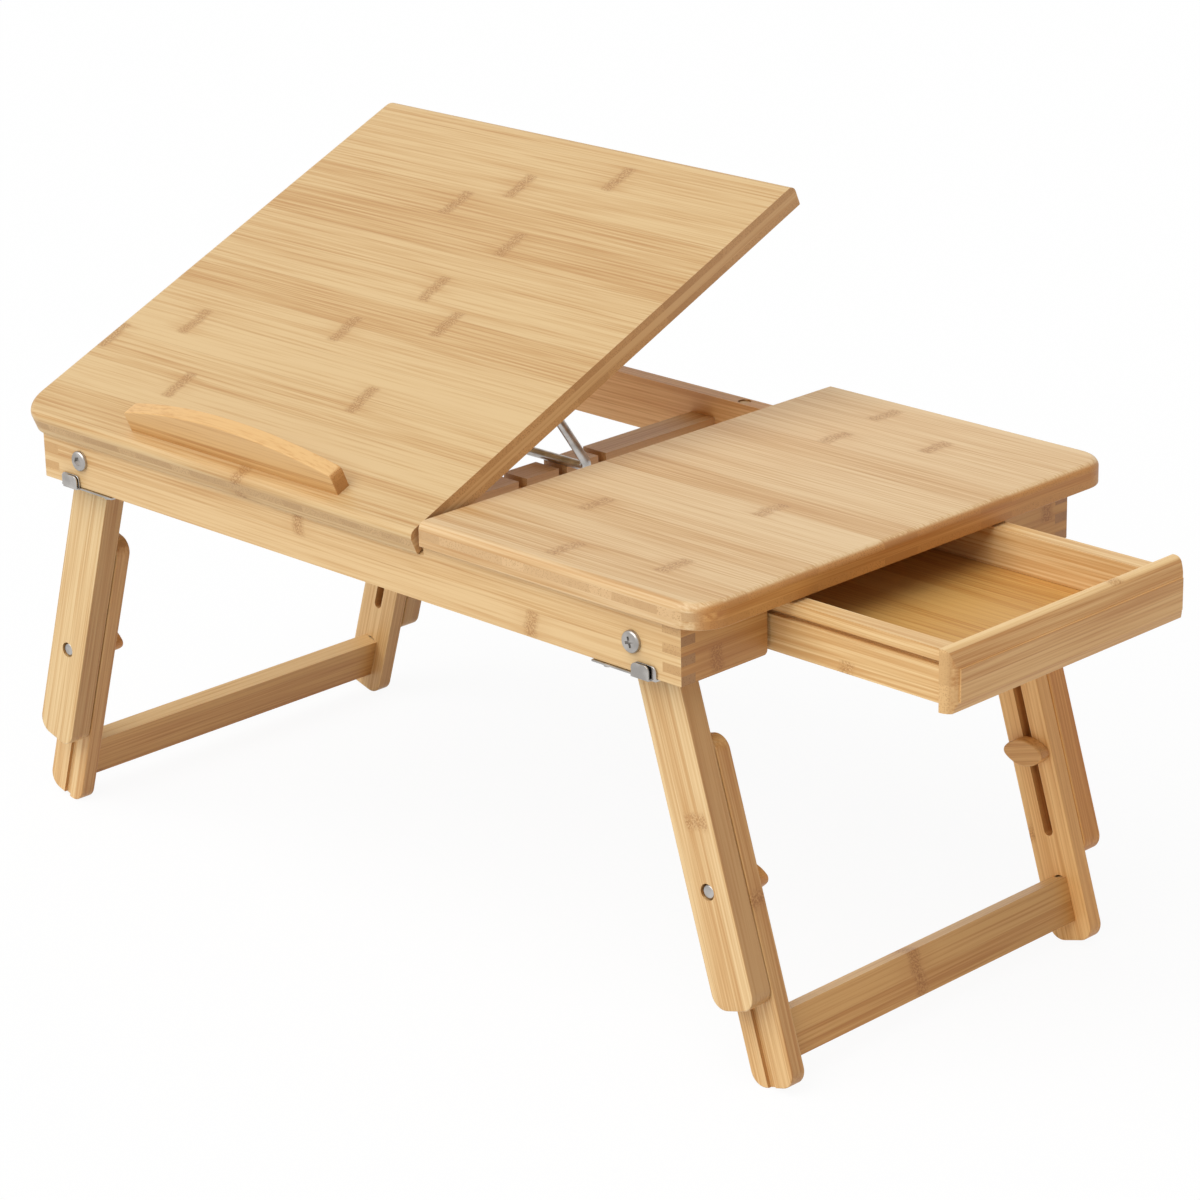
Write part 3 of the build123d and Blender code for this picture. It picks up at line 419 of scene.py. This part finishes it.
def bamboo(node, along, across, strip, seed, own_marks=1.0, plies=None, marks=()):
    """A node's bamboo, with its grain along one direction. plies is how high a panel's upper face lies."""
    material, g, shader = new_material("bamboo_" + node)
    coordinates = g.node("ShaderNodeTexCoord")
    spot, normal = coordinates.outputs["Object"], coordinates.outputs["Normal"]
    depth_axis = tuple(Vector(along).cross(Vector(across)))
    u, v, w = (g.dot(spot, tuple(axis)) for axis in (along, across, depth_axis))
    end = g.ramp(g.math("ABSOLUTE", g.dot(normal, tuple(along))), *end_face_limits)
    mark, halo = 0.0, 0.0
    for at, over in marks:
        bar = g.node("ShaderNodeGroup", node_tree=mark_group)
        for socket, value in zip(bar.inputs, (g.math("SUBTRACT", u, at), v, w, over)):
            g.put(socket, value)
        half = strip / 2
        inside = g.ramp(g.math("ABSOLUTE", g.math("SUBTRACT", v, over)), half, half - mark_soft)
        mark = g.math("MAXIMUM", mark, g.math("MULTIPLY", bar.outputs["Mark"], inside))
        halo = g.math("MAXIMUM", halo, g.math("MULTIPLY", bar.outputs["Halo"], inside))
    if plies is not None:
        ply = g.math("DIVIDE", g.math("SUBTRACT", plies, w), panel_thickness / ply_count)
        inner = g.math("MULTIPLY", g.math("GREATER_THAN", ply, 1), g.math("LESS_THAN", ply, ply_count - 1))
        side = g.ramp(g.math("ABSOLUTE", g.dot(normal, tuple(across))), *end_face_limits)
        end = g.blend(inner, end, side)
        u, v = g.blend(inner, u, v), g.blend(inner, v, u)
        strip = g.blend(inner, strip, ply_strip)
    made = g.node("ShaderNodeGroup", node_tree=bamboo_group)
    inputs = {"Along": u, "Across": v, "Depth": w, "End": end, "Seed": seed, "Strip": strip,
              "Own Marks": own_marks, "Mark": mark, "Halo": halo}
    for label, value in inputs.items():
        g.put(made.inputs[label], value)
    # The piece's tint: its own tone, partly painted light and shade
    colour = g.times(made.outputs["Colour"], of_node(tone_and_painted_light_tints, node))
    # Faces that look along X get painted shade, partly also the tone of their edge grain
    sideways = g.ramp(g.math("ABSOLUTE", g.dot(normal, x_axis)), *side_face_limits)
    shaded = g.times(colour, of_node(side_grain_and_painted_shade_tints, node))
    g.put(shader.inputs["Base Color"], g.mix(sideways, colour, shaded))
    g.put(shader.inputs["Roughness"], made.outputs["Roughness"])
    raise_grain(g, shader, made.outputs["Height"], bamboo_relief)
    return material


def steel(name, rough, scratches):
    """Steel with fine scratches and uneven polish."""
    material, g, shader = new_material(name)
    spot = g.node("ShaderNodeTexCoord").outputs["Object"]
    values = {"Vector": spot, "Scale": scratches, "Detail": steel_detail, "Roughness": steel_roughness}
    fine = g.node("ShaderNodeTexNoise", values).outputs[0]
    values = {"Vector": spot, "Scale": scratches / steel_cloud_ratio, "Detail": steel_cloud_detail}
    cloud = g.node("ShaderNodeTexNoise", values).outputs[0]
    g.put(shader.inputs["Base Color"], g.mix(g.ramp(cloud, *steel_cloud_limits), steel_dark, steel_light))
    g.put(shader.inputs["Roughness"], g.math("ADD", g.math("MULTIPLY", fine, steel_rough_swing), rough))
    shader.inputs["Metallic"].default_value = 1.0
    raise_grain(g, shader, fine, steel_relief)
    return material


# Grain directions

joints = {joint["name"]: joint for joint in frame["joints"]}
tilt = math.radians(-joints["tilt_top_hinge"]["range_deg"][0])
x_axis, y_axis, z_axis = (1.0, 0.0, 0.0), (0.0, 1.0, 0.0), (0.0, 0.0, 1.0)
tilt_across = (0.0, math.cos(tilt), math.sin(tilt))
tilt_up = (0.0, -math.sin(tilt), math.cos(tilt))


def leg_axes(side):
    """Down and across a leg of one side."""
    up = Vector(joints[side + "_legs_length"]["axis"])
    return tuple(-up), tuple(up.cross(Vector(y_axis)))


def of_node(table, node):
    """What a table says of a node, by the longest listed name that it begins with."""
    fitting = [name for name in table if node.startswith(name)]
    return table[max(fitting, key=len)]


def top_of(node, axis):
    """How far a node reaches along an axis."""
    return max(vertex.co.dot(Vector(axis)) for vertex in frame["nodes"][node].data.vertices)


grains = {
    "front_rail": (x_axis, z_axis, board_strip),
    "rear_rail": (x_axis, z_axis, board_strip),
    "left_rail": (y_axis, z_axis, board_strip),
    "right_front_stub": (y_axis, z_axis, board_strip),
    "right_rear_stub": (y_axis, z_axis, board_strip),
    "center_notched_bar": (y_axis, x_axis, board_strip),
    "left_notched_bar": (y_axis, x_axis, board_strip),
    "drawer_guide_front": (x_axis, z_axis, board_strip),
    "drawer_guide_rear": (x_axis, z_axis, board_strip),
    "drawer_runner_front": (x_axis, z_axis, board_strip),
    "drawer_runner_rear": (x_axis, z_axis, board_strip),
    "drawer_divider": (y_axis, z_axis, board_strip),
    "drawer_front": (y_axis, z_axis, board_strip),
    "drawer_side_front": (x_axis, z_axis, board_strip),
    "drawer_side_rear": (x_axis, z_axis, board_strip),
    "drawer_back": (y_axis, z_axis, board_strip),
    "drawer_bottom": (x_axis, y_axis, panel_strip),
    "book_ledge": (x_axis, tilt_up, board_strip),
    "ledge_dowels": (tilt_up, x_axis, board_strip),
    "rear_bumper": (x_axis, y_axis, board_strip),
}
for side in ("left", "right"):
    down, over = leg_axes(side)
    grains["stretcher_" + side] = (y_axis, down, board_strip)
    for end in ("front", "rear"):
        corner = f"{side}_{end}"
        grains["upper_leg_" + corner] = (down, over, leg_strip)
        grains["lower_leg_" + corner] = (down, over, leg_strip)
        grains["clamp_knob_" + corner] = (over, down, panel_strip)

materials = {
    "tilt_top": bamboo("tilt_top", x_axis, tilt_across, panel_strip, tilt_top_seed, 0.0,
                       top_of("tilt_top", tilt_up), tilt_marks),
    "fixed_top": bamboo("fixed_top", x_axis, y_axis, panel_strip, fixed_top_seed, 0.0,
                        top_of("fixed_top", z_axis), fixed_marks),
}
for number, (node, (along, across, strip)) in enumerate(grains.items()):
    own_marks = 0.0 if node in board_marks or node.startswith("clamp_knob") else 1.0
    seed = number + piece_seed_step * number
    marks = board_marks.get(node, ())
    materials[node] = bamboo(node, along, across, strip, seed, own_marks, marks=marks)
satin = steel("satin_steel", satin_rough, satin_scratches)
bright = steel("bright_steel", bright_rough, bright_scratches)
slots = {part["node"]: part["material_slot"] for part in frame["record"]["subparts"]}
for node, shape in frame["nodes"].items():
    look = materials.get(node) or (bright if slots[node] == "bright_steel" else satin)
    shape.data.materials.clear()
    shape.data.materials.append(look)

# Stage, light and camera

bpy.ops.mesh.primitive_plane_add(size=2 * floor_half, location=(0, 0, 0))
floor = bpy.context.object
floor.name = "floor"
floor_look, floor_graph, floor_shader = new_material("floor")
floor_graph.put(floor_shader.inputs["Base Color"], floor_tone)
floor_shader.inputs["Roughness"].default_value = floor_rough
floor_shader.inputs["Specular IOR Level"].default_value = floor_shine
plain = floor_graph.node("ShaderNodeEmission", {"Color": white, "Strength": white_strength})
seen_share = floor_graph.math("MULTIPLY", floor_graph.seen_rays(), floor_white_share)
floor_mix = floor_graph.node("ShaderNodeMixShader", (seen_share, floor_shader.outputs[0], plain.outputs[0]))
floor_graph.put(floor_look.node_tree.nodes["Material Output"].inputs["Surface"], floor_mix.outputs[0])
floor.data.materials.append(floor_look)

world = bpy.data.worlds.new("studio")
bpy.context.scene.world = world
world.use_nodes = True
world.node_tree.nodes.clear()
sky = Graph(world.node_tree)
lit = sky.node("ShaderNodeBackground", {"Color": white, "Strength": sky_light})
seen = sky.node("ShaderNodeBackground", {"Color": white, "Strength": white_strength})
both = sky.node("ShaderNodeMixShader", (sky.seen_rays(), lit.outputs[0], seen.outputs[0]))
sky.put(sky.node("ShaderNodeOutputWorld").inputs["Surface"], both.outputs[0])

sun_data = bpy.data.lights.new("sun", "SUN")
sun_data.energy = sun_power
sun_data.angle = math.radians(sun_spread)
sun = bpy.data.objects.new("sun", sun_data)
sun.rotation_mode = "QUATERNION"
sun.rotation_quaternion = Vector(sun_direction).to_track_quat("-Z", "Y")
bpy.context.scene.collection.objects.link(sun)

camera_data = bpy.data.cameras.new("camera")
camera_data.lens = camera_lens
camera_data.sensor_width = sensor_width
camera = bpy.data.objects.new("camera", camera_data)
azimuth, elevation = math.radians(camera_azimuth), math.radians(camera_elevation)
back = Vector((
    math.sin(azimuth) * math.cos(elevation),
    -math.cos(azimuth) * math.cos(elevation),
    math.sin(elevation),
))
right = (-back).cross(Vector(z_axis)).normalized()
level = Matrix((right, back.cross(right), back)).transposed()
camera.matrix_world = Matrix.Translation(camera_place) @ (
    level @ Matrix.Rotation(math.radians(-camera_roll), 3, "Z")
).to_4x4()
bpy.context.scene.collection.objects.link(camera)
bpy.context.scene.camera = camera
bpy.context.scene.view_settings.view_transform = "Standard"
